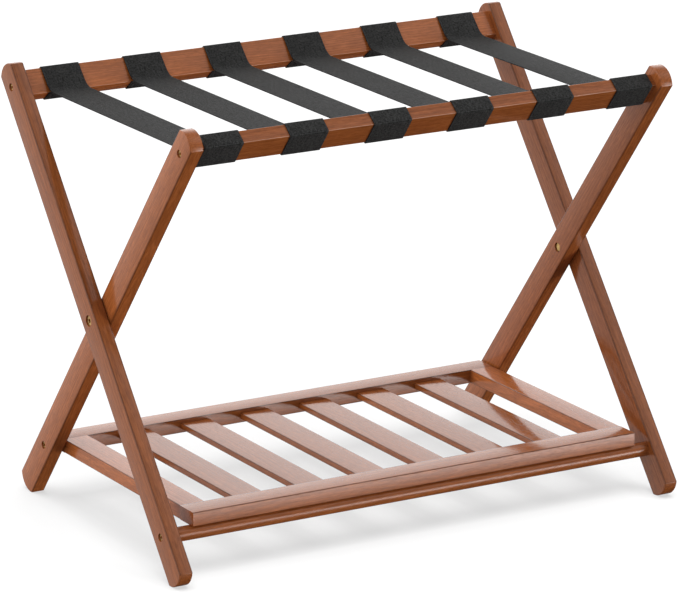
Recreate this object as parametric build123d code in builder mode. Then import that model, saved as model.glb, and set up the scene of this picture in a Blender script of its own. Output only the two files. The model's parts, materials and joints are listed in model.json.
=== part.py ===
"""Folding luggage rack: two pairs of crossed wooden legs, webbing straps between two top rails,
and a slatted shelf below that swings up between the inner legs.

Frame: +X runs along the rails, -Y is the front, +Z is up. The origin is on the floor at the middle.
The outer legs lean back as they rise and carry the rear rail. The inner legs lean forward as they
rise and carry the front rail. Both pairs cross at the pivot bolts. Millimetres.
"""

import os
from math import asin, cos, degrees, radians, sin

from build123d import *

os.makedirs("parts", exist_ok=True)

# Legs
rack_length = 680.0  # over the outer faces of the outer legs
leg_length = 668.0  # tip to tip along the leg
leg_width = 33.4
leg_thickness = 17.0
leg_lean = 38.6  # degrees from upright
tip_arch = 6.9  # rise of the arched tip over the leg's straight sides
leg_edge_round = 1.2
tip_corner_round = 1.2
leg_gap = 1.0  # washer between an outer and an inner leg

# Top rails and the front dowel
rail_height = 32.8  # along the leg
rail_thickness = 17.0
rail_setback = 12.6  # leg tip to the rail's upper edge
rail_round = 0.8
rail_shoulder = 4.0  # step from the rail's faces in to its tenon
rail_tenon_depth = 6.0
dowel_diameter = 17.5
dowel_setback = 60.04  # lower leg tip to the dowel's axis
dowel_socket_depth = 6.0
dowel_end_chamfer = 1.0

# Shelf
shelf_rail_width = 32.0
shelf_thickness = 17.0
shelf_round = 1.0
shelf_overhang = 9.4  # front edge past the dowel's axis
shelf_rest_gap = 0.3  # shelf's underside over the dowel
shelf_side_gap = 3.0  # spacer washer between the shelf and an inner leg
shelf_shoulder = 6.0  # step from a side rail's edges in to its tenon
slat_count = 6
slat_width = 39.0
slat_thickness = 7.5
slat_round = 1.0
slat_tenon = 8.0  # length let into the front and rear shelf rails

# Straps
strap_count = 6
strap_width = 50.0
strap_end_gap = 5.8  # inner leg to the edge of the end strap
strap_thickness = 1.3
strap_ease = 0.2  # slack of a loop round its rail
strap_seam_gap = 0.3  # between a loop and the flat span
strap_lift = 1.5  # middle of the flat span over the rounding of the rails' lower inside edges

# Screws that hold the rails, the dowel and the shelf
screw_head_diameter = 8.8
screw_head_height = 3.0
screw_diameter = 5.0
screw_bite = 32.0  # length beyond the leg's inner face
screw_socket = 4.0  # hexagon across corners
screw_socket_depth = 1.8

# Pivot bolts, nuts and washers
bolt_head_diameter = 12.6
bolt_head_height = 4.0
bolt_diameter = 6.0
bolt_socket = 5.6
bolt_socket_depth = 2.4
nut_wall = 2.4  # from the bolt to the corners of the hexagon
nut_height = 4.5
washer_diameter = 16.0
spacer_diameter = 14.0
head_edge_round = 0.8

# Fits
running_clearance = 0.05  # radial, a shank in the hole it turns in or is driven into
joint_clearance = 0.1  # round a tenon or a dowel end
head_clearance = 0.4  # radial, a head or a nut in its recess
head_sink = 1.5  # a head or a nut below the wood's face

# Worked out from the sizes above
half_leg = leg_length / 2
tip_radius = (leg_width**2 / 4 + tip_arch**2) / (2 * tip_arch)
tip_half_angle = degrees(asin(min(1.0, leg_width / 2 / tip_radius)))
lean = radians(leg_lean)
if leg_lean <= tip_half_angle:
    pivot_height = (half_leg - tip_radius) * cos(lean) + tip_radius
else:
    pivot_height = (half_leg - tip_arch) * cos(lean) + leg_width / 2 * sin(lean)

outer_leg_x = rack_length / 2
outer_leg_inside = outer_leg_x - leg_thickness
inner_leg_x = outer_leg_inside - leg_gap
inner_leg_inside = inner_leg_x - leg_thickness

screw_recess_diameter = screw_head_diameter + 2 * head_clearance
screw_recess_depth = screw_head_height + head_sink
bolt_recess_diameter = bolt_head_diameter + 2 * head_clearance
bolt_recess_depth = bolt_head_height + head_sink
nut_diameter = bolt_diameter + 2 * nut_wall
nut_recess_diameter = nut_diameter + 2 * head_clearance
nut_recess_depth = nut_height + head_sink
screw_hole = screw_diameter + 2 * running_clearance
pivot_hole = bolt_diameter + 2 * running_clearance

rail_middle = half_leg - rail_setback - rail_height / 2  # along the leg, from the pivot
rail_tenon_height = rail_height - 2 * rail_shoulder
rail_tenon_thickness = rail_thickness - 2 * rail_shoulder
dowel_along = -(half_leg - dowel_setback)
dowel_y = dowel_along * sin(lean)
dowel_z = pivot_height + dowel_along * cos(lean)

shelf_bottom = dowel_z + dowel_diameter / 2 + shelf_rest_gap
shelf_middle_z = shelf_bottom + shelf_thickness / 2
shelf_axis_along = (shelf_middle_z - pivot_height) / cos(lean)  # negative: below the pivot
shelf_axis_y = -shelf_axis_along * sin(lean)
shelf_front_y = dowel_y - shelf_overhang
shelf_front_inside = shelf_front_y + shelf_rail_width
shelf_rear_inside = shelf_axis_y - shelf_rail_width / 2
shelf_half_length = inner_leg_inside - shelf_side_gap
shelf_side_inside = shelf_half_length - shelf_rail_width
shelf_tenon_width = shelf_rail_width - 2 * shelf_shoulder
slat_pitch = (2 * shelf_side_inside + slat_width) / (slat_count + 1)
slat_xs = [(i - (slat_count - 1) / 2) * slat_pitch for i in range(slat_count)]
side_rail_x = (shelf_half_length + shelf_side_inside) / 2

loop_reach = strap_ease + strap_thickness
strap_pitch = 2 * (inner_leg_inside - strap_end_gap - strap_width / 2) / (strap_count - 1)
strap_xs = [(i - (strap_count - 1) / 2) * strap_pitch for i in range(strap_count)]


def leg_plane(x, turn):
    """Plane across X at a leg's pivot: its x axis runs up the leg. turn is +1 on an outer leg."""
    return Plane(
        origin=(x, 0, pivot_height),
        x_dir=(0, turn * sin(lean), cos(lean)),
        z_dir=(1, 0, 0),
    )


def save(part, name):
    part.label = name
    export_step(part, f"parts/{name}.step")


def leg_blank(x, side, turn):
    """A leg with arched tips and softened edges. x is its outer face."""
    straight = half_leg - tip_arch
    half = leg_width / 2
    with BuildPart() as blank:
        with BuildSketch(leg_plane(x, turn)):
            with BuildLine():
                Line((-straight, -half), (straight, -half))
                ThreePointArc((straight, -half), (half_leg, 0), (straight, half))
                Line((straight, half), (-straight, half))
                ThreePointArc((-straight, half), (-half_leg, 0), (-straight, -half))
            make_face()
        extrude(amount=-side * leg_thickness)
        fillet(blank.edges().filter_by(Axis.X), tip_corner_round)
        fillet(blank.faces().filter_by(Axis.X).edges(), leg_edge_round)
    return blank.part


def cut_round(plane, along, diameter, depth):
    """Cuts a round hole in the leg whose block this is called in."""
    with BuildSketch(plane) as hole:
        with Locations((along, 0)):
            Circle(diameter / 2)
    extrude(hole.sketch, amount=depth, mode=Mode.SUBTRACT)


def cut_screw_hole(face, side, turn, along):
    """Recess for a screw's head in the leg's outer face, and the hole for its shank."""
    plane = leg_plane(face, turn)
    cut_round(plane, along, screw_recess_diameter, -side * screw_recess_depth)
    cut_round(plane, along, screw_hole, -side * leg_thickness)


def cut_rail_mortise(inside, side, turn):
    """Mortise for a rail's tenon in the leg's inner face."""
    with BuildSketch(leg_plane(inside, turn)) as mortise:
        with Locations((rail_middle, 0)):
            Rectangle(
                rail_tenon_height + 2 * joint_clearance,
                rail_tenon_thickness + 2 * joint_clearance,
            )
    depth = rail_tenon_depth + joint_clearance
    extrude(mortise.sketch, amount=side * depth, mode=Mode.SUBTRACT)


# Outer legs: rear rail above, dowel below, bolt head recessed in the outer face
for name, side in (("outer_leg_left", -1), ("outer_leg_right", 1)):
    face = side * outer_leg_x
    inside = side * outer_leg_inside
    socket_depth = dowel_socket_depth + joint_clearance
    blank = leg_blank(face, side, 1)
    with BuildPart() as outer_leg:
        add(blank)
        cut_screw_hole(face, side, 1, rail_middle)
        cut_screw_hole(face, side, 1, dowel_along)
        cut_rail_mortise(inside, side, 1)
        cut_round(
            leg_plane(inside, 1), dowel_along, dowel_diameter + 2 * joint_clearance, side * socket_depth
        )
        cut_round(leg_plane(face, 1), 0, pivot_hole, -side * leg_thickness)
        cut_round(leg_plane(face, 1), 0, bolt_recess_diameter, -side * bolt_recess_depth)
    save(outer_leg.part, name)

# Inner legs: front rail above, shelf screw below, nut recessed in the inner face
for name, side in (("inner_leg_left", -1), ("inner_leg_right", 1)):
    face = side * inner_leg_x
    inside = side * inner_leg_inside
    blank = leg_blank(face, side, -1)
    with BuildPart() as inner_leg:
        add(blank)
        cut_screw_hole(face, side, -1, rail_middle)
        cut_screw_hole(face, side, -1, shelf_axis_along)
        cut_rail_mortise(inside, side, -1)
        cut_round(leg_plane(face, -1), 0, pivot_hole, -side * leg_thickness)
        cut_round(leg_plane(inside, -1), 0, nut_recess_diameter, side * nut_recess_depth)
    save(inner_leg.part, name)


def top_rail(half_length, turn):
    """A rail between two legs, leaning with them, with a stub tenon and a screw hole in each end."""
    with BuildPart() as rail:
        with BuildSketch(leg_plane(-half_length, turn)):
            with Locations((rail_middle, 0)):
                Rectangle(rail_height, rail_thickness)
        extrude(amount=2 * half_length)
        fillet(rail.edges().filter_by(Axis.X), rail_round)
        with BuildSketch(leg_plane(-half_length - rail_tenon_depth, turn)):
            with Locations((rail_middle, 0)):
                Rectangle(rail_tenon_height, rail_tenon_thickness)
        extrude(amount=2 * (half_length + rail_tenon_depth))
        for side in (-1, 1):
            with BuildSketch(leg_plane(side * (half_length + rail_tenon_depth), turn)):
                with Locations((rail_middle, 0)):
                    Circle(screw_hole / 2)
            extrude(amount=-side * (rail_tenon_depth + screw_bite), mode=Mode.SUBTRACT)
    return rail.part


save(top_rail(outer_leg_inside, 1), "rear_top_rail")
save(top_rail(inner_leg_inside, -1), "front_top_rail")

# Front dowel, between sockets in the outer legs
dowel_half = outer_leg_inside + dowel_socket_depth
with BuildPart() as front_dowel:
    with BuildSketch(leg_plane(-dowel_half, 1)):
        with Locations((dowel_along, 0)):
            Circle(dowel_diameter / 2)
    extrude(amount=2 * dowel_half)
    chamfer(front_dowel.edges().filter_by(GeomType.CIRCLE), dowel_end_chamfer)
    for side in (-1, 1):
        with BuildSketch(leg_plane(side * dowel_half, 1)):
            with Locations((dowel_along, 0)):
                Circle(screw_hole / 2)
        extrude(amount=-side * (dowel_socket_depth + screw_bite), mode=Mode.SUBTRACT)
save(front_dowel.part, "front_dowel")


def shelf_long_rail(outside_y, inside_y):
    """Front or rear rail of the shelf, with mortises for the slats and the side rails.

    Only its outside edges are rounded, so that the side rails meet it flush.
    """
    into_rail = 1 if inside_y < outside_y else -1
    with BuildPart() as rail:
        with BuildSketch(Plane.YZ.offset(-shelf_half_length)):
            with Locations(((outside_y + inside_y) / 2, shelf_middle_z)):
                Rectangle(shelf_rail_width, shelf_thickness)
        extrude(amount=2 * shelf_half_length)
        from_outside = rail.edges().filter_by(Axis.X).sort_by(Axis.Y, reverse=outside_y > inside_y)
        fillet(from_outside[:2], shelf_round)
        with BuildSketch(
            Plane(
                origin=(0, inside_y, shelf_middle_z),
                x_dir=(1, 0, 0),
                z_dir=(0, into_rail, 0),
            )
        ):
            with Locations(*[(x, 0) for x in slat_xs]):
                Rectangle(slat_width + 2 * joint_clearance, slat_thickness + 2 * joint_clearance)
            with Locations((-side_rail_x, 0), (side_rail_x, 0)):
                Rectangle(
                    shelf_tenon_width + 2 * joint_clearance,
                    slat_thickness + 2 * joint_clearance,
                )
        extrude(amount=slat_tenon + joint_clearance, mode=Mode.SUBTRACT)
    return rail.part


save(shelf_long_rail(shelf_front_y, shelf_front_inside), "shelf_front_rail")

# Rear shelf rail: its ends carry the screws that the shelf swings on
blank = shelf_long_rail(shelf_rear_inside + shelf_rail_width, shelf_rear_inside)
with BuildPart() as shelf_rear_rail:
    add(blank)
    for side in (-1, 1):
        with BuildSketch(Plane.YZ.offset(side * shelf_half_length)):
            with Locations((shelf_axis_y, shelf_middle_z)):
                Circle(screw_hole / 2)
        extrude(amount=-side * screw_bite, mode=Mode.SUBTRACT)
save(shelf_rear_rail.part, "shelf_rear_rail")

# Side rails of the shelf, tenoned between the front and rear rails
shelf_opening_y = (shelf_front_inside + shelf_rear_inside) / 2
shelf_opening = shelf_rear_inside - shelf_front_inside
for name, side in (("shelf_left_rail", -1), ("shelf_right_rail", 1)):
    middle = (side * side_rail_x, shelf_opening_y, shelf_middle_z)
    with BuildPart(Plane(origin=middle)) as side_rail:
        Box(shelf_rail_width, shelf_opening, shelf_thickness)
        fillet(side_rail.edges().filter_by(Axis.Y), shelf_round)
        Box(shelf_tenon_width, shelf_opening + 2 * slat_tenon, slat_thickness)
    save(side_rail.part, name)

# Slats, let into the front and rear shelf rails at half their height
for i, slat_x in enumerate(slat_xs, 1):
    with BuildPart(Plane(origin=(slat_x, shelf_opening_y, shelf_middle_z))) as slat:
        Box(slat_width, shelf_opening + 2 * slat_tenon, slat_thickness)
        fillet(slat.edges().filter_by(Axis.Y), slat_round)
    save(slat.part, f"shelf_slat_{i}")


def strap_loop(x, turn):
    """Webbing wound once round a top rail, following its rounded edges."""
    inner_round = rail_round + strap_ease
    with BuildPart() as loop:
        with BuildSketch(leg_plane(x - strap_width / 2, turn)):
            with Locations((rail_middle, 0)):
                RectangleRounded(
                    rail_height + 2 * loop_reach,
                    rail_thickness + 2 * loop_reach,
                    inner_round + strap_thickness,
                )
                RectangleRounded(
                    rail_height + 2 * strap_ease,
                    rail_thickness + 2 * strap_ease,
                    inner_round,
                    mode=Mode.SUBTRACT,
                )
        extrude(amount=strap_width)
    return loop.part


# The flat spans leave both rails at their lower inside edges, level from front to back
seam_along = rail_middle - rail_height / 2 + rail_round
seam_across = rail_thickness / 2 - rail_round
seam_y = seam_along * sin(lean) - seam_across * cos(lean)
span_z = pivot_height + seam_along * cos(lean) + seam_across * sin(lean) + strap_lift
span_half = seam_y - rail_round - loop_reach - strap_seam_gap
for i, strap_x in enumerate(strap_xs, 1):
    save(strap_loop(strap_x, 1), f"strap_{i}_rear_loop")
    save(strap_loop(strap_x, -1), f"strap_{i}_front_loop")
    with BuildPart(Plane(origin=(strap_x, 0, span_z))) as strap_span:
        Box(strap_width, 2 * span_half, strap_thickness)
    save(strap_span.part, f"strap_{i}_span")


def screw_pair(face_x, y, z, length):
    """Two socket-head screws, one at each end, heads seated in the recesses of the leg faces."""
    seat_x = face_x - screw_recess_depth
    with BuildPart() as screws:
        for side in (-1, 1):
            with BuildSketch(Plane.YZ.offset(side * seat_x)):
                with Locations((y, z)):
                    Circle(screw_head_diameter / 2)
            extrude(amount=side * screw_head_height)
            with BuildSketch(Plane.YZ.offset(side * seat_x)):
                with Locations((y, z)):
                    Circle(screw_diameter / 2)
            extrude(amount=-side * length)
        crowns = screws.faces().filter_by(Axis.X).sort_by(Axis.X)
        fillet([crowns[0].edges(), crowns[-1].edges()], head_edge_round)
        for side in (-1, 1):
            with BuildSketch(Plane.YZ.offset(side * (seat_x + screw_head_height))):
                with Locations((y, z)):
                    RegularPolygon(screw_socket / 2, 6)
            extrude(amount=-side * screw_socket_depth, mode=Mode.SUBTRACT)
    return screws.part


def leg_point(along, turn):
    """Y and Z of a point on a leg's middle line."""
    return turn * along * sin(lean), pivot_height + along * cos(lean)


screw_shank = leg_thickness - screw_recess_depth + screw_bite - joint_clearance
rear_rail_y, rail_z = leg_point(rail_middle, 1)
save(screw_pair(outer_leg_x, rear_rail_y, rail_z, screw_shank), "rear_rail_screws")
save(screw_pair(inner_leg_x, -rear_rail_y, rail_z, screw_shank), "front_rail_screws")
save(screw_pair(outer_leg_x, dowel_y, dowel_z, screw_shank), "dowel_screws")
save(
    screw_pair(inner_leg_x, shelf_axis_y, shelf_middle_z, screw_shank + shelf_side_gap),
    "shelf_pivot_screws",
)

# Spacer washers that keep the shelf off the inner legs
with BuildPart() as shelf_spacers:
    for side in (-1, 1):
        with BuildSketch(Plane.YZ.offset(side * shelf_half_length)):
            with Locations((shelf_axis_y, shelf_middle_z)):
                Circle(spacer_diameter / 2)
                Circle(screw_hole / 2, mode=Mode.SUBTRACT)
        extrude(amount=side * shelf_side_gap)
save(shelf_spacers.part, "shelf_spacers")

# Pivot bolts: head in the outer leg's recess, shank through both legs, end in the nut
bolt_seat = outer_leg_x - bolt_recess_depth
nut_seat = inner_leg_inside + nut_recess_depth
bolt_shank = bolt_seat - nut_seat + nut_height
with BuildPart() as pivot_bolts:
    for side in (-1, 1):
        with BuildSketch(Plane.YZ.offset(side * bolt_seat)):
            with Locations((0, pivot_height)):
                Circle(bolt_head_diameter / 2)
        extrude(amount=side * bolt_head_height)
        with BuildSketch(Plane.YZ.offset(side * bolt_seat)):
            with Locations((0, pivot_height)):
                Circle(bolt_diameter / 2)
        extrude(amount=-side * bolt_shank)
    bolt_crowns = pivot_bolts.faces().filter_by(Axis.X).sort_by(Axis.X)
    fillet([bolt_crowns[0].edges(), bolt_crowns[-1].edges()], head_edge_round)
    for side in (-1, 1):
        with BuildSketch(Plane.YZ.offset(side * (bolt_seat + bolt_head_height))):
            with Locations((0, pivot_height)):
                RegularPolygon(bolt_socket / 2, 6)
        extrude(amount=-side * bolt_socket_depth, mode=Mode.SUBTRACT)
save(pivot_bolts.part, "pivot_bolts")

with BuildPart() as pivot_nuts:
    for side in (-1, 1):
        with BuildSketch(Plane.YZ.offset(side * nut_seat)):
            with Locations((0, pivot_height)):
                RegularPolygon(nut_diameter / 2, 6)
                Circle(pivot_hole / 2, mode=Mode.SUBTRACT)
        extrude(amount=-side * nut_height)
save(pivot_nuts.part, "pivot_nuts")

with BuildPart() as pivot_washers:
    for side in (-1, 1):
        with BuildSketch(Plane.YZ.offset(side * inner_leg_x)):
            with Locations((0, pivot_height)):
                Circle(washer_diameter / 2)
                Circle(pivot_hole / 2, mode=Mode.SUBTRACT)
        extrude(amount=side * leg_gap)
save(pivot_washers.part, "pivot_washers")
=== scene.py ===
"""Finish of a folding luggage rack: lacquered wood, brass fasteners, woven straps and a pale studio.

The rack's own frame is used throughout, in metres: +X along the rails, -Y to the front, +Z up.
"""

import json
import math
from typing import NamedTuple

import bpy
from bpy.props import FloatProperty, FloatVectorProperty, IntProperty, PointerProperty
from mathutils import Matrix, Quaternion, Vector


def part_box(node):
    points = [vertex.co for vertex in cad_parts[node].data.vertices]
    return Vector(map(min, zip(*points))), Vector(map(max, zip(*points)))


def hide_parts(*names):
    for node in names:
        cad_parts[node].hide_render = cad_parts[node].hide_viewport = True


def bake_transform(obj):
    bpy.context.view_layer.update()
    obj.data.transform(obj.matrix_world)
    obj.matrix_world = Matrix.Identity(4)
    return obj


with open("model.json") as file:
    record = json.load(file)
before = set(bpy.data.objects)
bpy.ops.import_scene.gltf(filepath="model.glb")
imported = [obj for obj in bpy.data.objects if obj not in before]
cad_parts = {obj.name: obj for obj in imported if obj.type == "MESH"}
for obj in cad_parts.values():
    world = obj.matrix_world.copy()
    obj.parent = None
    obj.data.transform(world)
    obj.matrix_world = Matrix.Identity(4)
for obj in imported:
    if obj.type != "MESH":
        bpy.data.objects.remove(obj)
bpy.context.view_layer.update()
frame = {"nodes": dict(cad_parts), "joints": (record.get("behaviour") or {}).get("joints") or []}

bl_info = {
    "name": "Luggage rack finish",
    "version": (1, 0, 0),
    "blender": (4, 5, 0),
    "location": "View3D > Sidebar > Rack",
    "description": "Stains the wood, plates the fasteners, sews the straps and sets up a studio",
    "category": "Object",
}

PIVOT = Vector(next(j for j in frame["joints"] if j["name"] == "frame_fold")["pos_m"])
STRAPS = range(1, 7)
SLATS = range(1, 7)
ALONG_X = Vector((1, 0, 0))
ALONG_Y = Vector((0, 1, 0))
UP = Vector((0, 0, 1))


def middle(node):
    """Middle of a rigid piece's box."""
    low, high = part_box(node)
    return (low + high) / 2


def lean_of(rail):
    """Direction up the legs that carry this top rail."""
    way = middle(rail) - PIVOT
    way.x = 0
    return way.normalized()


OUTER_LEAN = lean_of("rear_top_rail")
INNER_LEAN = lean_of("front_top_rail")


class RackWood(bpy.types.PropertyGroup):
    """Stock sizes and stain of the wooden pieces."""

    light_stain: FloatVectorProperty(
        name="Light stain",
        description="Colour of the wood between the growth rings",
        subtype="COLOR",
        default=(0.45, 0.136, 0.038),
        min=0,
        max=1,
    )
    dark_stain: FloatVectorProperty(
        name="Dark stain",
        description="Colour of the late wood and the darker fibres",
        subtype="COLOR",
        default=(0.25, 0.070, 0.018),
        min=0,
        max=1,
    )
    # Colour of a painted highlight along the top rails' edges.
    painted_edge_highlight: FloatVectorProperty(
        name="Rubbed stain",
        description="Colour where sanding has thinned the stain, along the top rails' edges",
        subtype="COLOR",
        default=(0.62, 0.30, 0.17),
        min=0,
        max=1,
    )
    lacquer_roughness: FloatProperty(
        name="Lacquer roughness",
        description="Roughness of the lacquer over the stain",
        default=0.14,
        min=0,
        max=1,
    )
    ring_spacing: FloatProperty(
        name="Ring spacing",
        description="Distance between growth rings",
        default=0.0042,
        unit="LENGTH",
    )
    crown: FloatProperty(
        name="Crown",
        description="How far sanding tilts a face at its edges",
        default=math.radians(7),
        subtype="ANGLE",
    )
    shelf_crown: FloatProperty(
        name="Shelf crown",
        description="How far sanding tilts a face of the shelf at its edges",
        default=math.radians(5),
        subtype="ANGLE",
    )
    leg_width: FloatProperty(
        name="Leg width",
        description="Width of a leg seen from the side",
        default=0.0334,
        unit="LENGTH",
    )
    leg_thickness: FloatProperty(
        name="Leg thickness",
        description="Thickness of a leg along the rails",
        default=0.017,
        unit="LENGTH",
    )
    rail_height: FloatProperty(
        name="Rail height",
        description="Height of a top rail along the leg",
        default=0.0328,
        unit="LENGTH",
    )
    rail_thickness: FloatProperty(
        name="Rail thickness",
        description="Thickness of a top rail",
        default=0.017,
        unit="LENGTH",
    )
    rail_edge: FloatProperty(
        name="Rail edge",
        description="Rounding of a top rail's long edges",
        default=0.0008,
        unit="LENGTH",
    )


class RackFittings(bpy.types.PropertyGroup):
    """Colours of the fasteners and washers."""

    bright_brass: FloatVectorProperty(
        name="Bright brass",
        description="Colour of the plating where it is rubbed bright",
        subtype="COLOR",
        default=(0.70, 0.46, 0.17),
        min=0,
        max=1,
    )
    dull_brass: FloatVectorProperty(
        name="Dull brass",
        description="Colour of the plating where it is cloudy",
        subtype="COLOR",
        default=(0.44, 0.26, 0.085),
        min=0,
        max=1,
    )
    dark_nylon: FloatVectorProperty(
        name="Dark nylon",
        description="Darkest colour of the washers",
        subtype="COLOR",
        default=(0.016, 0.013, 0.011),
        min=0,
        max=1,
    )
    pale_nylon: FloatVectorProperty(
        name="Pale nylon",
        description="Lightest colour of the washers",
        subtype="COLOR",
        default=(0.030, 0.025, 0.021),
        min=0,
        max=1,
    )


class RackWebbing(bpy.types.PropertyGroup):
    """Weave and sewing of the straps."""

    yarn: FloatVectorProperty(
        name="Yarn",
        description="Colour of the webbing's yarn",
        subtype="COLOR",
        default=(0.034, 0.034, 0.0335),
        min=0,
        max=1,
    )
    warp_pitch: FloatProperty(
        name="Warp pitch",
        description="Distance between yarns along the strap",
        default=0.0013,
        unit="LENGTH",
    )
    weft_pitch: FloatProperty(
        name="Weft pitch",
        description="Distance between yarns across it",
        default=0.0017,
        unit="LENGTH",
    )
    lap: FloatProperty(
        name="Lap",
        description="Length sewn back under the span",
        default=0.028,
        unit="LENGTH",
    )
    ease: FloatProperty(
        name="Ease",
        description="Slack between a loop and its rail",
        default=0.0002,
        unit="LENGTH",
    )
    stand_off: FloatProperty(
        name="Stand off",
        description="Gap to the rail where the strap leaves it",
        default=0.0035,
        unit="LENGTH",
    )
    turn_out: FloatProperty(
        name="Turn out",
        description="Bend where the strap leaves the rail",
        default=0.024,
        unit="LENGTH",
    )
    turn_under: FloatProperty(
        name="Turn under",
        description="Bend where the lap leaves the rail",
        default=0.004,
        unit="LENGTH",
    )
    bend_steps: IntProperty(
        name="Bend steps",
        description="Faces round each bend",
        default=7,
        min=2,
    )
    row: FloatProperty(
        name="Row",
        description="Longest face along a strap, so that it can hang",
        default=0.012,
        unit="LENGTH",
    )


class Window(NamedTuple):
    """One soft light far off, with angles in degrees. Azimuth runs from the rear to the right."""

    azimuth: float
    height: float
    spread: float
    strength: float


WINDOWS = {
    "rear": Window(10, 22, 30, 2.35),
    "left": Window(290, 28, 30, 2.55),
    "right": Window(120, 45, 20, 1.35),
    "right_fill": Window(80, 10, 30, 0.25),
    "front_top": Window(190, 45, 25, 0.5),
    "front_low": Window(155, -13, 20, 0.9),
    "front_strip": Window(142, -8, 9, 11.0),
    "left_low": Window(240, -45, 24, 0.75),
    "rear_left_low": Window(325, -15, 20, 0.3),
    "rear_right_low": Window(48, 3, 7, 7.0),
}


class RackStage(bpy.types.PropertyGroup):
    """Camera, light and floor."""

    camera_place: FloatVectorProperty(
        name="Camera place",
        description="Where the camera stands",
        subtype="TRANSLATION",
        unit="LENGTH",
        default=(-2.75685, -4.69755, 1.79653),
    )
    azimuth: FloatProperty(
        name="Azimuth",
        description="Direction of the view, from straight ahead",
        default=math.radians(-30.376),
        subtype="ANGLE",
    )
    elevation: FloatProperty(
        name="Elevation",
        description="Height of the view over the horizon",
        default=math.radians(15.892),
        subtype="ANGLE",
    )
    roll: FloatProperty(
        name="Roll",
        description="Turn of the picture",
        default=math.radians(0.067),
        subtype="ANGLE",
    )
    lens: FloatProperty(name="Lens", description="Focal length in millimetres", default=251.81)
    clip_end: FloatProperty(
        name="Clip end",
        description="How far the camera sees",
        default=100.0,
        unit="LENGTH",
    )
    floor_size: FloatProperty(
        name="Floor size",
        description="Length and width of the floor",
        default=30.0,
        unit="LENGTH",
    )
    floor_colour: FloatVectorProperty(
        name="Floor",
        description="Colour of the floor",
        subtype="COLOR",
        default=(0.12, 0.12, 0.12),
        min=0,
        max=1,
    )
    floor_glow: FloatProperty(
        name="Floor glow",
        description="Share of the floor's white that is its own",
        default=0.62,
        min=0,
        max=1,
    )
    floor_lamp: FloatProperty(
        name="Floor lamp",
        description="Strength of the lamp over the floor, which lights nothing else",
        default=10.5,
    )
    floor_lamp_height: FloatProperty(
        name="Floor lamp height",
        description="Height of that lamp over the horizon, in front",
        default=math.radians(80),
        subtype="ANGLE",
    )
    floor_lamp_spread: FloatProperty(
        name="Floor lamp spread",
        description="How wide that lamp is",
        default=math.radians(56),
        subtype="ANGLE",
    )


class Spots(NamedTuple):
    """A cloudy pattern: how many spots there are to the metre each way, and how busy they are."""

    stretch: tuple
    detail: float = 2.0
    roughness: float = 0.5


class Touch(NamedTuple):
    """Feel of a surface: its least roughness, how far that varies, and how its relief shows."""

    smooth: float
    spread: float
    relief: float
    depth: float


class Finish:
    """One node material. An input given as a socket is linked, and any other value is set."""

    def __init__(self, name):
        self.material = bpy.data.materials.new(name)
        self.material.use_nodes = True
        self.tree = self.material.node_tree
        self.tree.nodes.clear()

    def add(self, kind, inputs, **settings):
        """One node with its inputs and settings."""
        made = self.tree.nodes.new(kind)
        for key, value in settings.items():
            setattr(made, key, value)
        for key, value in inputs.items():
            if isinstance(value, bpy.types.NodeSocket):
                self.tree.links.new(value, made.inputs[key])
            else:
                made.inputs[key].default_value = value
        return made

    def place(self, kind="Object"):
        """Where a point lies on its piece."""
        return self.add("ShaderNodeTexCoord", {}).outputs[kind]

    def math(self, operation, *values):
        return self.add("ShaderNodeMath", dict(enumerate(values)), operation=operation).outputs[0]

    def total(self, layers, shares, start=0.0):
        """start and the given share of each named layer, added up."""
        for name, share in shares.items():
            start = self.math("MULTIPLY_ADD", layers[name], share, start)
        return start

    def ramp(self, value, start, end, low=0.0, high=1.0):
        """low up to start, high from end on, and smooth between them."""
        inputs = {"Value": value, "From Min": start, "From Max": end, "To Min": low, "To Max": high}
        made = self.add("ShaderNodeMapRange", inputs, interpolation_type="SMOOTHSTEP")
        return made.outputs["Result"]

    def noise(self, place, spots):
        """Cloudy value around 0.5."""
        inputs = {0: place, 1: spots.stretch}
        scaled = self.add("ShaderNodeVectorMath", inputs, operation="MULTIPLY").outputs[0]
        inputs = {
            "Vector": scaled,
            "Scale": 1.0,
            "Detail": spots.detail,
            "Roughness": spots.roughness,
        }
        return self.add("ShaderNodeTexNoise", inputs).outputs["Fac"]

    def mix(self, share, first, second):
        """Colour that goes from the first to the second as share goes from 0 to 1."""
        inputs = {0: share, 6: first, 7: second}
        return self.add("ShaderNodeMix", inputs, data_type="RGBA").outputs[2]

    def roughness(self, layer, touch):
        return self.math("MULTIPLY_ADD", layer, touch.spread, touch.smooth)

    def bump(self, height, touch):
        inputs = {"Height": height, "Strength": touch.relief, "Distance": touch.depth}
        return self.add("ShaderNodeBump", inputs).outputs[0]

    def surface(self, **inputs):
        """Ends the material in a principled surface. Words in a name are joined by underscores."""
        named = {key.replace("_", " "): value for key, value in inputs.items()}
        shader = self.add("ShaderNodeBsdfPrincipled", named)
        self.add("ShaderNodeOutputMaterial", {"Surface": shader.outputs[0]})
        return self.material


def rgba(colour, shade=1.0):
    """Colour for a socket, made lighter or darker."""
    return tuple(channel * shade for channel in colour) + (1.0,)


def dress(node, material):
    """Gives a rigid piece its finish."""
    for slot in frame["nodes"][node].material_slots:
        slot.material = material


class Rim(NamedTuple):
    """Colour painted along a piece's edges, painted shade on legs and shelf and a painted highlight
    on the top rails: how much of it shows, and how far it reaches over the faces.
    """

    share: float
    reach: float


# Painted shade along the legs' edges.
LEG_PAINTED_SHADE = Rim(0.45, 0.0028)
# Painted highlight along the top rails' edges.
RAIL_PAINTED_HIGHLIGHT = Rim(0.6, 0.0010)
# Painted shade along the shelf pieces' edges.
SHELF_PAINTED_SHADE = Rim(0.6, 0.0017)
NO_RIM = Rim(0.0, 0.0010)
# How dark the painted shade along the edges of legs and shelf is, as a share of the dark stain.
PAINTED_EDGE_SHADE_FACTOR = 0.2
RIM_RANGE = (0.05, 0.75)


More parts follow.
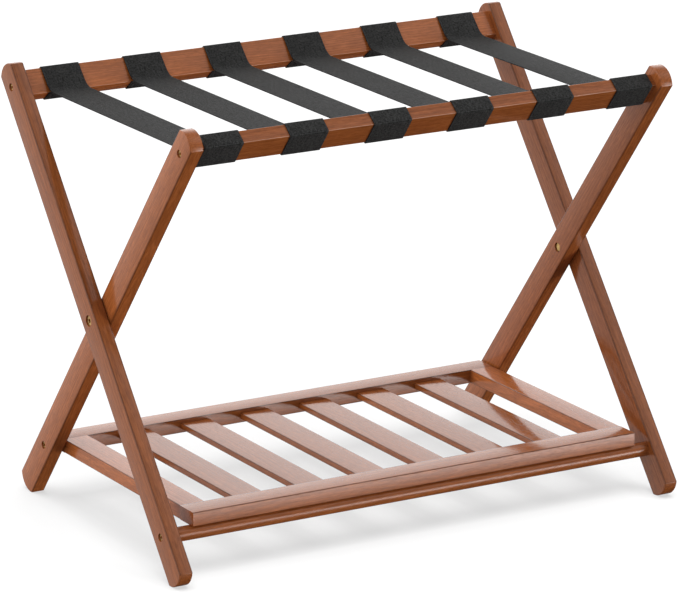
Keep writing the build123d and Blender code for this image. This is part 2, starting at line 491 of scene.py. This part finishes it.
class Stock(NamedTuple):
    """Section of a wooden piece: half sizes, swell of its faces, and the painted shade or painted
    highlight that its edges are given.
    """

    half_width: float
    half_thickness: float
    crown: float
    painted_edge: Rim
    painted_edge_colour: tuple


TONES = {
    "outer_leg_left": 0.97,
    "outer_leg_right": 0.90,
    "inner_leg_left": 1.17,
    "inner_leg_right": 1.10,
    "rear_top_rail": 1.36,
    "front_top_rail": 0.98,
    "front_dowel": 1.05,
    "shelf_front_rail": 1.15,
    "shelf_rear_rail": 1.08,
    "shelf_left_rail": 1.35,
    "shelf_right_rail": 1.35,
}
SLAT_TONE = 1.03
FIRST_LEG_SEED = 1
FIRST_RAIL_SEED = 11
DOWEL_SEED = 13
FIRST_SHELF_SEED = 21
SEED_SHIFT = (0.37, 0.11, 0.07)

GRAIN = {
    "cloud": Spots((3.0, 24.0, 24.0)),
    "sway": Spots((2.2, 30.0, 30.0), detail=1.0),
    "fibre": Spots((16.0, 800.0, 800.0), detail=3.0, roughness=0.6),
    "hair": Spots((45.0, 2400.0, 2400.0), detail=1.0),
    "fleck": Spots((70.0, 380.0, 380.0), roughness=0.6),
    "pore": Spots((120.0, 3200.0, 3200.0), detail=0.0),
}
DARKNESS = {"fibre": 0.75, "fleck": 0.8, "late": 0.2, "cloud": 0.5, "hair": 0.3}
DARKNESS_START = -0.45
DARKNESS_RANGE = (0.15, 1.15)
RING_SLANT = 0.45
RING_SWAY = 0.05
LATE_RISE = (0.15, 0.85)
LATE_FALL = (0.88, 1.0)
PORE_RANGE = (0.66, 0.76)
PORE_SHARE = 0.45
PORE_SHADE = 0.3
PORE_DEPTH = 0.00002
FIBRE_HEIGHT = 0.00001
FIBRE_ROUGHNESS = 0.10
LACQUER_IOR = 1.4


def late_wood(finish, log, sway, wood):
    """Dark half of each growth ring: it deepens slowly and ends sharply."""
    parts = finish.add("ShaderNodeSeparateXYZ", {"Vector": log}).outputs
    across = finish.math("ADD", parts["Y"], finish.math("MULTIPLY", parts["Z"], RING_SLANT))
    bent = finish.math("MULTIPLY_ADD", sway, RING_SWAY, across)
    ring = finish.math("FRACT", finish.math("DIVIDE", bent, wood.ring_spacing))
    rise = finish.ramp(ring, *LATE_RISE)
    fall = finish.ramp(ring, *LATE_FALL, low=1.0, high=0.0)
    return finish.math("MULTIPLY", rise, fall)


def stained_wood(node, along, through, stock, tone, seed, wood):
    """Stained, lacquered wood, with its grain along the piece, and along its edges the painted shade
    or painted highlight that the stock gives.
    """
    finish = Finish(f"stained_wood_{node}")
    turn = Matrix((along, through.cross(along), through)).transposed()
    own = finish.add(
        "ShaderNodeMapping",
        {"Vector": finish.place(), "Location": middle(node), "Rotation": turn.to_euler()},
        vector_type="TEXTURE",
    ).outputs[0]
    shift = tuple(part * seed for part in SEED_SHIFT)
    log = finish.add("ShaderNodeVectorMath", {0: own, 1: shift}, operation="ADD").outputs[0]

    layers = {name: finish.noise(log, spots) for name, spots in GRAIN.items()}
    layers["late"] = late_wood(finish, log, layers["sway"], wood)
    fibre = layers["fibre"]
    pore = finish.ramp(layers["pore"], *PORE_RANGE)
    dark = finish.ramp(finish.total(layers, DARKNESS, DARKNESS_START), *DARKNESS_RANGE)
    colour = finish.mix(dark, rgba(wood.light_stain, tone), rgba(wood.dark_stain, tone))
    pore_share = finish.math("MULTIPLY", pore, PORE_SHARE)
    colour = finish.mix(pore_share, colour, rgba(wood.dark_stain, PORE_SHADE))

    parts = finish.add("ShaderNodeSeparateXYZ", {"Vector": own}).outputs
    edges = []
    falls = []
    for side, half in (("Y", stock.half_width), ("Z", stock.half_thickness)):
        off = parts[side]
        edges.append(finish.ramp(finish.math("ABSOLUTE", off), half - stock.painted_edge.reach, half))
        falls.append(finish.math("MULTIPLY", off, finish.math("DIVIDE", off, half)))
    # Mask of the piece's edges, where the painted shade or painted highlight goes.
    painted_edge = finish.ramp(finish.math("MULTIPLY", *edges), *RIM_RANGE)
    colour = finish.mix(finish.math("MULTIPLY", painted_edge, stock.painted_edge.share), colour, stock.painted_edge_colour)

    crown = finish.math("MULTIPLY", finish.math("ADD", *falls), -stock.crown / 2)
    height = finish.math("MULTIPLY_ADD", pore, -PORE_DEPTH, crown)
    height = finish.math("MULTIPLY_ADD", fibre, FIBRE_HEIGHT, height)
    touch = Touch(wood.lacquer_roughness - FIBRE_ROUGHNESS / 2, FIBRE_ROUGHNESS, 1.0, 1.0)
    return finish.surface(
        Base_Color=colour,
        Roughness=finish.roughness(fibre, touch),
        IOR=LACQUER_IOR,
        Normal=finish.bump(height, touch),
    )


BRASS_CLOUD = Spots((260.0, 260.0, 260.0), detail=3.0)
BRASS_RUB = Spots((900.0, 2600.0, 2600.0))
BRASS_CLOUD_RANGE = (0.35, 0.7)
BRASS_TOUCH = Touch(0.16, 0.2, 0.15, 0.0001)


def plated_brass(fittings):
    """Brass plating, a little cloudy and rubbed."""
    finish = Finish("plated_brass")
    place = finish.place()
    cloud = finish.ramp(finish.noise(place, BRASS_CLOUD), *BRASS_CLOUD_RANGE)
    rubbed = finish.noise(place, BRASS_RUB)
    return finish.surface(
        Base_Color=finish.mix(cloud, rgba(fittings.bright_brass), rgba(fittings.dull_brass)),
        Metallic=1.0,
        Roughness=finish.roughness(rubbed, BRASS_TOUCH),
        Normal=finish.bump(rubbed, BRASS_TOUCH),
    )


NYLON_GRAIN = Spots((1800.0, 1800.0, 1800.0))
NYLON_TOUCH = Touch(0.45, 0.2, 0.2, 0.0001)


def moulded_nylon(fittings):
    """Moulded nylon of the washers."""
    finish = Finish("dark_nylon")
    grain = finish.noise(finish.place(), NYLON_GRAIN)
    return finish.surface(
        Base_Color=finish.mix(grain, rgba(fittings.dark_nylon), rgba(fittings.pale_nylon)),
        Roughness=finish.roughness(grain, NYLON_TOUCH),
        Normal=finish.bump(grain, NYLON_TOUCH),
    )


YARN_SPOTS = {
    "fuzz": Spots((900.0, 900.0, 0.0), detail=3.0, roughness=0.7),
    "slub": Spots((480.0, 400.0, 0.0), roughness=0.7),
    "patch": Spots((300.0, 90.0, 0.0)),
}
# Shares of the yarn's colour: the weave's share paints shade into the hollows between the yarns, and
# the other shares are random yarn tone.
YARN_TONE_AND_WEAVE_SHADE = {"weave": 0.4, "fuzz": 0.4, "slub": 1.1, "patch": 0.4}
YARN_TONE_AND_WEAVE_SHADE_RANGE = (0.83, 1.53)
YARN_HEIGHT = {"weave": 1.0, "fuzz": 0.25, "slub": 0.8}
YARN_DARK_SHADE = 0.25
YARN_LIGHT_SHADE = 2.0
YARN_TOUCH = Touch(0.6, 0.2, 0.6, 0.0004)
YARN_SPECULAR = 0.1


def plain_weave(finish, flat, webbing):
    """Height of yarns that pass over and under each other by turns."""
    parts = finish.add("ShaderNodeSeparateXYZ", {"Vector": flat}).outputs
    warp = finish.math("DIVIDE", parts["X"], webbing.warp_pitch)
    weft = finish.math("DIVIDE", parts["Y"], webbing.weft_pitch)
    cell = finish.math("ADD", finish.math("FLOOR", warp), finish.math("FLOOR", weft))
    odd = finish.math("MODULO", cell, 2.0)

    def yarn_round(count):
        return finish.math("SINE", finish.math("MULTIPLY", finish.math("FRACT", count), math.pi))

    def over(yarn, other):
        return finish.math("MULTIPLY", yarn, finish.math("MULTIPLY_ADD", other, 0.5, 0.5))

    warp_round = yarn_round(warp)
    weft_round = yarn_round(weft)
    inputs = {0: odd, 2: over(warp_round, weft_round), 3: over(weft_round, warp_round)}
    return finish.add("ShaderNodeMix", inputs, data_type="FLOAT").outputs[0]


def woven_webbing(webbing):
    """Plain weave that follows the strap: its map runs across and along the strap in metres."""
    finish = Finish("woven_webbing")
    flat = finish.place("UV")
    layers = {name: finish.noise(flat, spots) for name, spots in YARN_SPOTS.items()}
    layers["weave"] = plain_weave(finish, flat, webbing)
    # Random yarn tone, with painted shade in the hollows of the weave.
    light = finish.ramp(finish.total(layers, YARN_TONE_AND_WEAVE_SHADE), *YARN_TONE_AND_WEAVE_SHADE_RANGE)
    dark_yarn = rgba(webbing.yarn, YARN_DARK_SHADE)
    light_yarn = rgba(webbing.yarn, YARN_LIGHT_SHADE)
    return finish.surface(
        Base_Color=finish.mix(light, dark_yarn, light_yarn),
        Roughness=finish.roughness(layers["fuzz"], YARN_TOUCH),
        Specular_IOR_Level=YARN_SPECULAR,
        Normal=finish.bump(finish.total(layers, YARN_HEIGHT), YARN_TOUCH),
    )


def bend_path(corners, bends, steps):
    """Points of a line through the corners, with an arc of the given radius at each inner one."""
    path = [corners[0]]
    for before, corner, after, bend in zip(corners, corners[1:], corners[2:], bends):
        back = (before - corner).normalized()
        ahead = (after - corner).normalized()
        half = back.angle(ahead) / 2
        centre = corner + (back + ahead).normalized() * (bend / math.sin(half))
        first = corner + back * (bend / math.tan(half)) - centre
        last = corner + ahead * (bend / math.tan(half)) - centre
        turn = first.rotation_difference(last)
        for step in range(steps + 1):
            path.append(centre + Quaternion().slerp(turn, step / steps) @ first)
    return path + [corners[-1]]


def with_rows(path, longest):
    """The same line, with its long stretches cut into even rows."""
    rows = [path[0]]
    for here, there in zip(path, path[1:]):
        cuts = math.ceil((there - here).length / longest)
        rows += [here.lerp(there, cut / cuts) for cut in range(1, cuts + 1)]
    return rows


def strap_route(strap, wood, webbing):
    """Middle line of a strap: lap, round the rear rail, across, round the front rail, lap."""
    low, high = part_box(f"strap_{strap}_span")
    thickness = high.z - low.z
    reach = webbing.ease + thickness / 2
    side = Vector((0, -OUTER_LEAN.z, OUTER_LEAN.y))
    rail = Vector((low.x, middle("rear_top_rail").y, middle("rear_top_rail").z))

    def beside_rail(up, forward):
        return rail + OUTER_LEAN * up + side * forward

    def level(point, way, height):
        return point + way * ((height - point.z) / way.z)

    up = wood.rail_height / 2 + reach
    out = wood.rail_thickness / 2 + reach
    span_z = (low.z + high.z) / 2
    lap_z = span_z - thickness - webbing.ease
    under = level(beside_rail(-up, 0), side, lap_z)
    leaves = level(beside_rail(0, out), OUTER_LEAN, span_z) - ALONG_Y * webbing.stand_off
    rear = [
        Vector((low.x, under.y - webbing.lap, lap_z)),
        under,
        beside_rail(-up, -out),
        beside_rail(up, -out),
        beside_rail(up, out),
        leaves,
    ]
    front = [Vector((point.x, -point.y, point.z)) for point in reversed(rear)]
    corner = wood.rail_edge + reach
    bends = [webbing.turn_under, corner, corner, corner, webbing.turn_out]
    bent = bend_path(rear + front, bends + bends[::-1], webbing.bend_steps)
    return with_rows(bent, webbing.row)


SELVEDGE_SHARE = 0.25
SELVEDGE_STEPS = 2
SELVEDGE_ANGLE = math.radians(60)
SMOOTH_ANGLE = math.radians(50)


def sew_strap(strap, wood, webbing, material):
    """One strap: an edge as wide as the webbing is drawn out along the route and thickened."""
    low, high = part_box(f"strap_{strap}_span")
    width = Vector((high.x - low.x, 0, 0))
    thickness = high.z - low.z
    route = strap_route(strap, wood, webbing)
    bpy.ops.object.select_all(action="DESELECT")
    bpy.ops.mesh.primitive_plane_add()
    piece = bpy.context.object
    piece.name = f"strap_{strap}"
    starts = [route[0], route[0] + width, route[1], route[1] + width]
    for vertex, start in zip(piece.data.vertices, starts):
        vertex.co = start
        vertex.select = vertex.index > 1
    for edge in piece.data.edges:
        edge.select = set(edge.vertices) == {2, 3}
    for face in piece.data.polygons:
        face.select = False
    bpy.ops.object.mode_set(mode="EDIT")
    for here, there in zip(route[1:], route[2:]):
        bpy.ops.mesh.extrude_region_move(TRANSFORM_OT_translate={"value": there - here})
    bpy.ops.object.mode_set(mode="OBJECT")

    length = [0.0]
    for here, there in zip(route, route[1:]):
        length.append(length[-1] + (there - here).length)
    chart = piece.data.uv_layers.active or piece.data.uv_layers.new(name="UVMap")
    for loop in piece.data.loops:
        vertex = loop.vertex_index
        chart.data[loop.index].uv = (piece.data.vertices[vertex].co.x - low.x, length[vertex // 2])

    thick = piece.modifiers.new("thickness", "SOLIDIFY")
    thick.thickness = thickness
    thick.offset = 0.0
    soft = piece.modifiers.new("selvedge", "BEVEL")
    soft.width = thickness * SELVEDGE_SHARE
    soft.segments = SELVEDGE_STEPS
    soft.limit_method = "ANGLE"
    soft.angle_limit = SELVEDGE_ANGLE
    for modifier in ("thickness", "selvedge"):
        bpy.ops.object.modifier_apply(modifier=modifier)
    bpy.ops.object.shade_smooth_by_angle(angle=SMOOTH_ANGLE)
    piece.data.materials.append(material)

    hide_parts(*[f"strap_{strap}_{part}" for part in ("rear_loop", "span", "front_loop")])
    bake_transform(piece)


class RACK_OT_legs(bpy.types.Operator):
    """Stain the four crossed legs"""

    bl_idname = "rack.legs"
    bl_label = "Stain legs"

    def execute(self, context):
        wood = context.scene.rack_wood
        # Dark colour painted along the legs' edges: painted shade.
        painted_edge_shade = rgba(wood.dark_stain, PAINTED_EDGE_SHADE_FACTOR)
        stock = Stock(wood.leg_width / 2, wood.leg_thickness / 2, wood.crown, LEG_PAINTED_SHADE, painted_edge_shade)
        legs = (
            ("outer_leg_left", OUTER_LEAN),
            ("outer_leg_right", OUTER_LEAN),
            ("inner_leg_left", INNER_LEAN),
            ("inner_leg_right", INNER_LEAN),
        )
        for seed, (leg, lean) in enumerate(legs, FIRST_LEG_SEED):
            dress(leg, stained_wood(leg, lean, ALONG_X, stock, TONES[leg], seed, wood))
        return {"FINISHED"}


class RACK_OT_rails(bpy.types.Operator):
    """Stain the two top rails and the front dowel"""

    bl_idname = "rack.rails"
    bl_label = "Stain rails"

    def execute(self, context):
        wood = context.scene.rack_wood
        # Light colour painted along the top rails' edges: a painted highlight.
        rubbed = rgba(wood.painted_edge_highlight)
        stock = Stock(wood.rail_height / 2, wood.rail_thickness / 2, wood.crown, RAIL_PAINTED_HIGHLIGHT, rubbed)
        rails = (("rear_top_rail", OUTER_LEAN), ("front_top_rail", INNER_LEAN))
        for seed, (rail, lean) in enumerate(rails, FIRST_RAIL_SEED):
            through = ALONG_X.cross(lean)
            dress(rail, stained_wood(rail, ALONG_X, through, stock, TONES[rail], seed, wood))
        dowel = "front_dowel"
        low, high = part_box(dowel)
        past = high.z - low.z
        stock = Stock(past, past, 0.0, NO_RIM, rubbed)
        dress(dowel, stained_wood(dowel, ALONG_X, UP, stock, TONES[dowel], DOWEL_SEED, wood))
        return {"FINISHED"}


class RACK_OT_shelf(bpy.types.Operator):
    """Stain the shelf's rails and slats"""

    bl_idname = "rack.shelf"
    bl_label = "Stain shelf"

    def execute(self, context):
        wood = context.scene.rack_wood
        # Dark colour painted along the shelf pieces' edges: painted shade.
        painted_edge_shade = rgba(wood.dark_stain, PAINTED_EDGE_SHADE_FACTOR)
        pieces = [(f"shelf_{side}_rail", ALONG_X) for side in ("front", "rear")]
        pieces += [(f"shelf_{side}_rail", ALONG_Y) for side in ("left", "right")]
        pieces += [(f"shelf_slat_{slat}", ALONG_Y) for slat in SLATS]
        for seed, (piece, along) in enumerate(pieces, FIRST_SHELF_SEED):
            low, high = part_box(piece)
            half = (high - low) / 2
            half_width = half.y if along is ALONG_X else half.x
            stock = Stock(half_width, half.z, wood.shelf_crown, SHELF_PAINTED_SHADE, painted_edge_shade)
            tone = TONES.get(piece, SLAT_TONE)
            dress(piece, stained_wood(piece, along, UP, stock, tone, seed, wood))
        return {"FINISHED"}


class RACK_OT_fasteners(bpy.types.Operator):
    """Plate the screws, bolts and nuts, and mould the washers"""

    bl_idname = "rack.fasteners"
    bl_label = "Finish fasteners"

    def execute(self, context):
        fittings = context.scene.rack_fittings
        brass = plated_brass(fittings)
        nylon = moulded_nylon(fittings)
        for node in (
            "rear_rail_screws",
            "front_rail_screws",
            "dowel_screws",
            "shelf_pivot_screws",
            "pivot_bolts",
            "pivot_nuts",
        ):
            dress(node, brass)
        for node in ("pivot_washers", "shelf_spacers"):
            dress(node, nylon)
        return {"FINISHED"}


class RACK_OT_straps(bpy.types.Operator):
    """Weave and sew the straps round the top rails"""

    bl_idname = "rack.straps"
    bl_label = "Sew straps"

    def execute(self, context):
        webbing = context.scene.rack_webbing
        material = woven_webbing(webbing)
        for strap in STRAPS:
            sew_strap(strap, context.scene.rack_wood, webbing, material)
        return {"FINISHED"}


FLOOR_ROUGHNESS = 0.9
WHITE = (1.0, 1.0, 1.0, 1.0)


class RACK_OT_stage(bpy.types.Operator):
    """Set up the floor, the light and the camera"""

    bl_idname = "rack.stage"
    bl_label = "Set up stage"

    def execute(self, context):
        stage = context.scene.rack_stage
        self.light_floor(self.lay_floor(stage), stage)
        self.hang_lights(context.scene)
        self.stand_camera(context.scene, stage)
        context.scene.view_settings.view_transform = "Standard"
        return {"FINISHED"}

    def lay_floor(self, stage):
        """A matt floor that takes the rack's shadow and throws no light back."""
        bpy.ops.object.select_all(action="DESELECT")
        bpy.ops.mesh.primitive_plane_add(size=stage.floor_size)
        floor = bpy.context.object
        floor.name = "floor"
        floor.data.materials.append(
            Finish("floor").surface(
                Base_Color=rgba(stage.floor_colour),
                Roughness=FLOOR_ROUGHNESS,
                Specular_IOR_Level=0.0,
                Emission_Color=WHITE,
                Emission_Strength=stage.floor_glow,
            )
        )
        floor.visible_glossy = False
        floor.visible_diffuse = False
        floor.visible_shadow = False
        return floor

    def light_floor(self, floor, stage):
        """A wide lamp overhead for the floor alone, so that its shadow is soft."""
        bpy.ops.object.light_add(type="SUN", rotation=(math.pi / 2 - stage.floor_lamp_height, 0, 0))
        lamp = bpy.context.object
        lamp.name = "floor_lamp"
        lamp.data.energy = stage.floor_lamp
        lamp.data.angle = stage.floor_lamp_spread
        lit = bpy.data.collections.new("lit_by_floor_lamp")
        lit.objects.link(floor)
        lamp.light_linking.receiver_collection = lit

    def hang_lights(self, scene):
        """Adds up the soft windows all round the rack."""
        world = bpy.data.worlds.new("studio")
        scene.world = world
        world.use_nodes = True
        nodes = world.node_tree.nodes
        link = world.node_tree.links.new
        way = nodes.new("ShaderNodeTexCoord").outputs["Generated"]

        def step(kind, operation, *values):
            made = nodes.new(kind)
            made.operation = operation
            for socket, value in zip(made.inputs, values):
                if isinstance(value, bpy.types.NodeSocket):
                    link(value, socket)
                else:
                    socket.default_value = value
            return made.outputs["Value"]

        light = 0.0
        for window in WINDOWS.values():
            azimuth = math.radians(window.azimuth)
            height = math.radians(window.height)
            flat = math.cos(height)
            centre = (math.sin(azimuth) * flat, math.cos(azimuth) * flat, math.sin(height))
            narrow = math.log(2) / (1 - math.cos(math.radians(window.spread)))
            facing = step("ShaderNodeVectorMath", "DOT_PRODUCT", way, centre)
            fall = step("ShaderNodeMath", "MULTIPLY_ADD", facing, narrow, -narrow)
            glow = step("ShaderNodeMath", "EXPONENT", fall)
            light = step("ShaderNodeMath", "MULTIPLY_ADD", glow, window.strength, light)
        link(light, nodes["Background"].inputs["Strength"])
        nodes["Background"].inputs["Color"].default_value = WHITE

    def stand_camera(self, scene, stage):
        """The camera at the place and angle of the picture."""
        bpy.ops.object.camera_add(location=stage.camera_place)
        camera = bpy.context.object
        flat = math.cos(stage.elevation)
        across = math.sin(stage.azimuth) * flat
        ahead = math.cos(stage.azimuth) * flat
        back = Vector((across, -ahead, math.sin(stage.elevation)))
        looking = (-back).to_track_quat("-Z", "Y")
        turned = looking.to_matrix() @ Matrix.Rotation(stage.roll, 3, "Z")
        camera.rotation_euler = turned.to_euler()
        camera.data.lens = stage.lens
        camera.data.sensor_fit = "HORIZONTAL"
        camera.data.clip_end = stage.clip_end
        scene.camera = camera


class RACK_PT_panel(bpy.types.Panel):
    """Lists the steps of the rack's finish"""

    bl_label = "Luggage rack"
    bl_idname = "RACK_PT_panel"
    bl_space_type = "VIEW_3D"
    bl_region_type = "UI"
    bl_category = "Rack"

    def draw(self, context):
        for name, group in GROUPS:
            box = self.layout.box()
            for setting in group.__annotations__:
                box.prop(getattr(context.scene, name), setting)
        for step in STEPS:
            self.layout.operator(step.bl_idname)


GROUPS = (
    ("rack_wood", RackWood),
    ("rack_fittings", RackFittings),
    ("rack_webbing", RackWebbing),
    ("rack_stage", RackStage),
)
STEPS = (
    RACK_OT_legs,
    RACK_OT_rails,
    RACK_OT_shelf,
    RACK_OT_fasteners,
    RACK_OT_straps,
    RACK_OT_stage,
)


def register():
    for name, group in GROUPS:
        bpy.utils.register_class(group)
        setattr(bpy.types.Scene, name, PointerProperty(type=group))
    for step in STEPS:
        bpy.utils.register_class(step)
    bpy.utils.register_class(RACK_PT_panel)


def unregister():
    bpy.utils.unregister_class(RACK_PT_panel)
    for step in reversed(STEPS):
        bpy.utils.unregister_class(step)
    for name, group in reversed(GROUPS):
        delattr(bpy.types.Scene, name)
        bpy.utils.unregister_class(group)


def main():
    register()
    bpy.ops.rack.legs()
    bpy.ops.rack.rails()
    bpy.ops.rack.shelf()
    bpy.ops.rack.fasteners()
    bpy.ops.rack.straps()
    bpy.ops.rack.stage()


if __name__ == "__main__":
    main()
